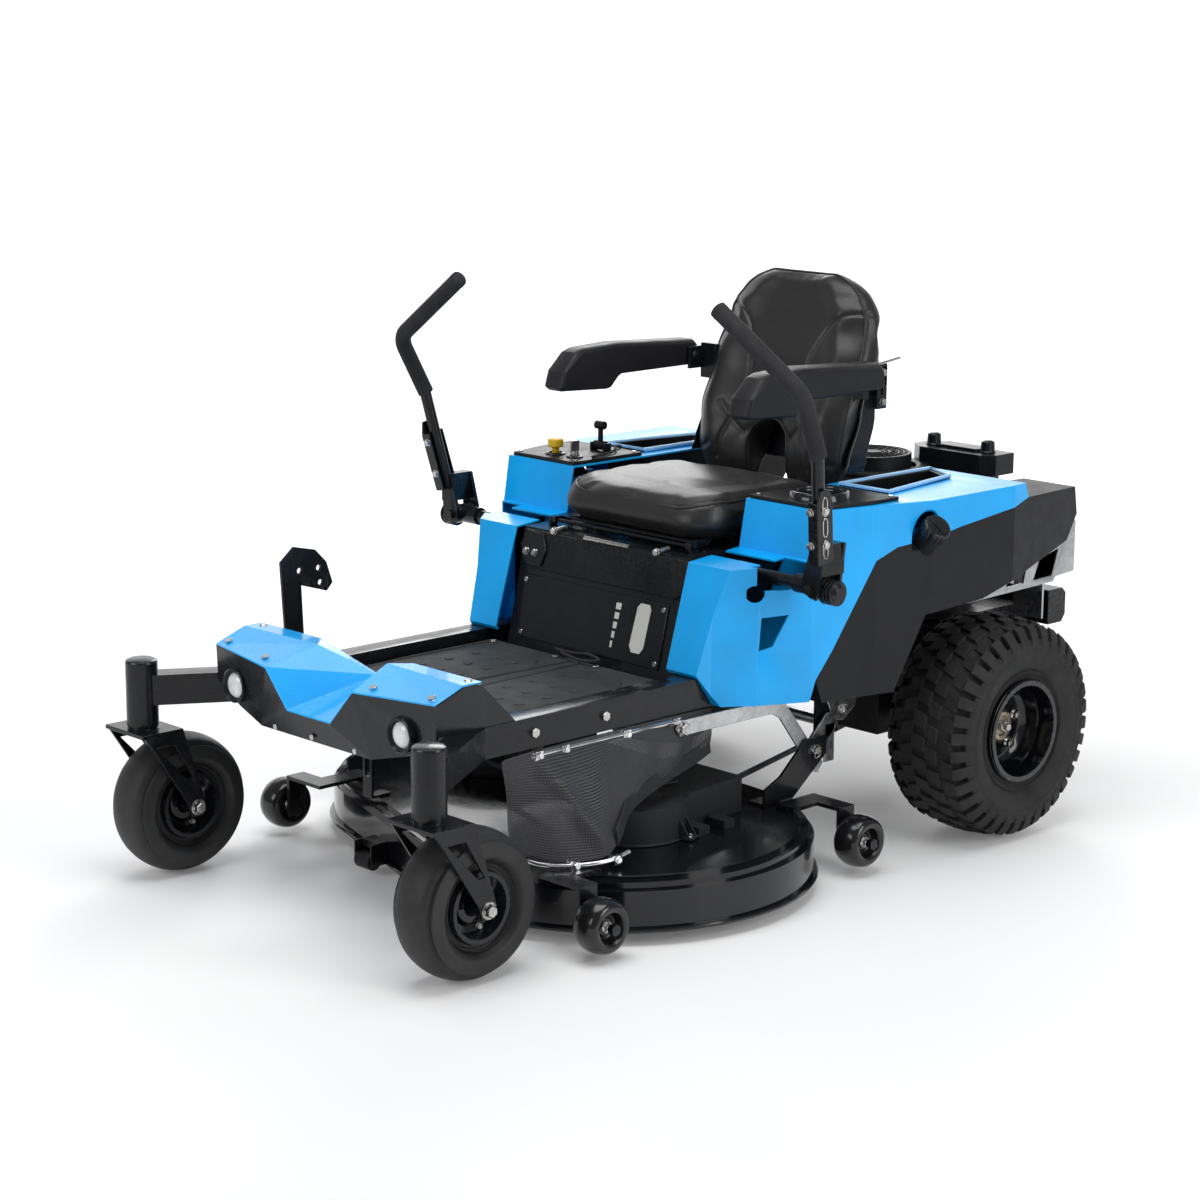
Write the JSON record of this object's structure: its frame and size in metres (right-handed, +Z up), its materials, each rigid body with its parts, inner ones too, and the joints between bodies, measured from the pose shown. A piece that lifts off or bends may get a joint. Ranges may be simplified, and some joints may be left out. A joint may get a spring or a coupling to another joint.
{
  "type": "riding lawn mower",
  "caption": "Zero-turn riding mower: steel frame with swivel front casters, drive wheels, lap-bar levers, high-back seat, rear engine and a height-adjustable twin-blade side-discharge deck.",
  "frame": {"origin": "centre of the bounding box's bottom face, on the ground", "axes": "+X towards the driver's left, -Y forwards, +Z up"},
  "size_m": [1.212, 1.92, 1.1511],
  "materials": {
    "frame_black": "gloss powder coat",
    "zinc": "zinc plated",
    "blue_steel": "gloss paint",
    "blue_plastic": "moulded, satin gloss",
    "black_plastic": "moulded, fine grain",
    "floor_rubber": "textured",
    "lamp_glass": "clear lens",
    "engine_metal": "cast, dark",
    "tyre": "matte",
    "rim_steel": "satin paint",
    "grip_foam": "foam",
    "vinyl": "grained vinyl",
    "armrest_skin": "soft touch",
    "netting": "woven net",
    "blade_steel": "painted steel, ground edges",
    "wheel_plastic": "moulded"
  },
  "bodies": {
    "chassis": {"main_frame": "frame_black", "rear_bumper": "frame_black", "rear_brackets": "zinc", "floor_mat": "floor_rubber", "nose_cover": "blue_steel", "nose_fascia": "black_plastic", "headlights": "lamp_glass", "seat_box": "frame_black", "fender_left": "blue_plastic", "fender_right": "blue_plastic", "fuel_tank_left": "black_plastic", "fuel_tank_right": "black_plastic", "console_left": "black_plastic", "console_right": "black_plastic", "engine": "engine_metal", "air_filter_cover": "black_plastic", "transaxles": "engine_metal", "frame_bolts": "zinc"},
    "seat_carrier": {"seat_pan": "frame_black"},
    "seat": {"seat_cushion": "vinyl", "seat_back": "vinyl"},
    "deck": {"deck_shell": "frame_black", "belt_covers": "black_plastic", "deck_brackets": "frame_black", "mesh_boot": "netting", "deck_belt": "floor_rubber"},
    "lift_linkage": {"lift_shaft": "zinc"},
    "lift_pedal": {"lift_pedal": "frame_black"},
    "chute": {"discharge_chute": "black_plastic"},
    "screen": {"intake_screen": "black_plastic"},
    "key": {"ignition_key": "black_plastic"},
    "blade_switch": {"blade_switch": "black_plastic"},
    "throttle": {"throttle_lever": "black_plastic"},
    "roller": {"deck_roller": "wheel_plastic"},
    "caster_left": {"caster_fork_left": "frame_black"},
    "front_wheel_left": {"front_tyre_left": "tyre", "front_rim_left": "rim_steel"},
    "rear_wheel_left": {"rear_tyre_left": "tyre", "rear_rim_left": "rim_steel"},
    "lever_base_left": {"lever_bracket_left": "frame_black"},
    "lever_left": {"lever_bar_left": "frame_black", "lever_grip_left": "grip_foam"},
    "armrest_left": {"armrest_left": "armrest_skin"},
    "blade_left": {"blade_left": "blade_steel"},
    "fuel_cap_left": {"fuel_cap_left": "black_plastic"},
    "caster_right": {"caster_fork_right": "frame_black"},
    "front_wheel_right": {"front_tyre_right": "tyre", "front_rim_right": "rim_steel"},
    "rear_wheel_right": {"rear_tyre_right": "tyre", "rear_rim_right": "rim_steel"},
    "lever_base_right": {"lever_bracket_right": "frame_black"},
    "lever_right": {"lever_bar_right": "frame_black", "lever_grip_right": "grip_foam"},
    "armrest_right": {"armrest_right": "armrest_skin"},
    "blade_right": {"blade_right": "blade_steel"},
    "fuel_cap_right": {"fuel_cap_right": "black_plastic"},
    "gauge_front_left": {"gauge_wheel_front_left": "wheel_plastic"},
    "gauge_front_right": {"gauge_wheel_front_right": "wheel_plastic"},
    "gauge_rear_left": {"gauge_wheel_rear_left": "wheel_plastic"},
    "gauge_rear_right": {"gauge_wheel_rear_right": "wheel_plastic"}
  },
  "joints": [
    {"name": "caster_swivel_left", "type": "hinge", "parent": "chassis", "child": "caster_left", "pos_m": [0.434, -0.9, 0.373], "axis": [0, 0, 1], "continuous": true},
    {"name": "front_wheel_spin_left", "type": "hinge", "parent": "caster_left", "child": "front_wheel_left", "pos_m": [0.434, -0.82, 0.14], "axis": [1, 0, 0], "continuous": true},
    {"name": "rear_wheel_spin_left", "type": "hinge", "parent": "chassis", "child": "rear_wheel_left", "pos_m": [0.489, 0.578, 0.232], "axis": [1, 0, 0], "continuous": true},
    {"name": "drive_lever_left", "type": "hinge", "parent": "chassis", "child": "lever_base_left", "pos_m": [0.4, 0.005, 0.608], "axis": [1, 0, 0], "range_deg": [-8, 14]},
    {"name": "lever_park_left", "type": "hinge", "parent": "lever_base_left", "child": "lever_left", "pos_m": [0.524, 0.005, 0.608], "axis": [0, -1, 0], "range_deg": [0, 20]},
    {"name": "armrest_hinge_left", "type": "hinge", "parent": "seat", "child": "armrest_left", "pos_m": [0.23, 0.424, 0.945], "axis": [-1, 0, 0], "range_deg": [0, 80]},
    {"name": "blade_spin_left", "type": "hinge", "parent": "deck", "child": "blade_left", "pos_m": [0.285, -0.265, 0.12], "axis": [0, 0, 1], "continuous": true},
    {"name": "fuel_cap_turn_left", "type": "hinge", "parent": "chassis", "child": "fuel_cap_left", "pos_m": [0.53, 0.328, 0.674], "axis": [0.6755, -0.1689, 0.7177], "range_deg": [0, 90]},
    {"name": "caster_swivel_right", "type": "hinge", "parent": "chassis", "child": "caster_right", "pos_m": [-0.434, -0.9, 0.373], "axis": [0, 0, 1], "continuous": true},
    {"name": "front_wheel_spin_right", "type": "hinge", "parent": "caster_right", "child": "front_wheel_right", "pos_m": [-0.434, -0.82, 0.14], "axis": [1, 0, 0], "continuous": true},
    {"name": "rear_wheel_spin_right", "type": "hinge", "parent": "chassis", "child": "rear_wheel_right", "pos_m": [-0.489, 0.578, 0.232], "axis": [1, 0, 0], "continuous": true},
    {"name": "drive_lever_right", "type": "hinge", "parent": "chassis", "child": "lever_base_right", "pos_m": [-0.4, 0.005, 0.608], "axis": [1, 0, 0], "range_deg": [-8, 14]},
    {"name": "lever_park_right", "type": "hinge", "parent": "lever_base_right", "child": "lever_right", "pos_m": [-0.524, 0.005, 0.608], "axis": [0, 1, 0], "range_deg": [0, 20]},
    {"name": "armrest_hinge_right", "type": "hinge", "parent": "seat", "child": "armrest_right", "pos_m": [-0.23, 0.424, 0.945], "axis": [-1, 0, 0], "range_deg": [0, 80]},
    {"name": "blade_spin_right", "type": "hinge", "parent": "deck", "child": "blade_right", "pos_m": [-0.265, -0.14, 0.12], "axis": [0, 0, 1], "continuous": true},
    {"name": "fuel_cap_turn_right", "type": "hinge", "parent": "chassis", "child": "fuel_cap_right", "pos_m": [-0.53, 0.328, 0.674], "axis": [-0.6755, -0.1689, 0.7177], "range_deg": [0, 90]},
    {"name": "gauge_spin_front_left", "type": "hinge", "parent": "deck", "child": "gauge_front_left", "pos_m": [0.531, -0.577, 0.065], "axis": [1, 0, 0], "continuous": true},
    {"name": "gauge_spin_front_right", "type": "hinge", "parent": "deck", "child": "gauge_front_right", "pos_m": [-0.488, -0.515, 0.065], "axis": [1, 0, 0], "continuous": true},
    {"name": "gauge_spin_rear_left", "type": "hinge", "parent": "deck", "child": "gauge_rear_left", "pos_m": [0.512, 0.15, 0.07], "axis": [1, 0, 0], "continuous": true},
    {"name": "gauge_spin_rear_right", "type": "hinge", "parent": "deck", "child": "gauge_rear_right", "pos_m": [-0.516, 0.172, 0.07], "axis": [1, 0, 0], "continuous": true},
    {"name": "roller_spin", "type": "hinge", "parent": "deck", "child": "roller", "pos_m": [-0.145, -0.574, 0.031], "axis": [1, 0, 0], "continuous": true},
    {"name": "seat_tilt", "type": "hinge", "parent": "chassis", "child": "seat_carrier", "pos_m": [0, -0.02, 0.642], "axis": [1, 0, 0], "range_deg": [0, 22]},
    {"name": "seat_slide", "type": "slide", "parent": "seat_carrier", "child": "seat", "axis": [0, 1, 0], "range_m": [-0.05, 0.05]},
    {"name": "deck_lift", "type": "slide", "parent": "chassis", "child": "deck", "axis": [0, 0, 1], "range_m": [0, 0.076], "deforming": ["mesh_boot", "deck_belt"]},
    {"name": "lift_shaft_turn", "type": "hinge", "parent": "chassis", "child": "lift_linkage", "pos_m": [0, 0.25, 0.262], "axis": [-1, 0, 0], "range_deg": [0, 62]},
    {"name": "lift_pedal_push", "type": "hinge", "parent": "chassis", "child": "lift_pedal", "pos_m": [-0.335, -0.6, 0.384], "axis": [1, 0, 0], "range_deg": [0, 36]},
    {"name": "chute_fold", "type": "hinge", "parent": "deck", "child": "chute", "pos_m": [-0.596, -0.15, 0.138], "axis": [0, -1, 0], "range_deg": [0, 100]},
    {"name": "screen_spin", "type": "hinge", "parent": "chassis", "child": "screen", "pos_m": [0, 0.745, 0.7], "axis": [0, 0, 1], "continuous": true},
    {"name": "key_turn", "type": "hinge", "parent": "chassis", "child": "key", "pos_m": [-0.3, 0.13, 0.75], "axis": [0, 0, -1], "range_deg": [0, 70]},
    {"name": "blade_switch_pull", "type": "slide", "parent": "chassis", "child": "blade_switch", "axis": [0, 0, 1], "range_m": [0, 0.01]},
    {"name": "throttle_swing", "type": "hinge", "parent": "chassis", "child": "throttle", "pos_m": [-0.33, 0.235, 0.756], "axis": [1, 0, 0], "range_deg": [-25, 25]}
  ],
  "couplings": [
    {"joint": "blade_spin_right", "follows": "blade_spin_left", "ratio": 1},
    {"joint": "lift_shaft_turn", "follows": "deck_lift", "rad_per_m": 14.123},
    {"joint": "lift_pedal_push", "follows": "deck_lift", "rad_per_m": 8.0377}
  ]
}
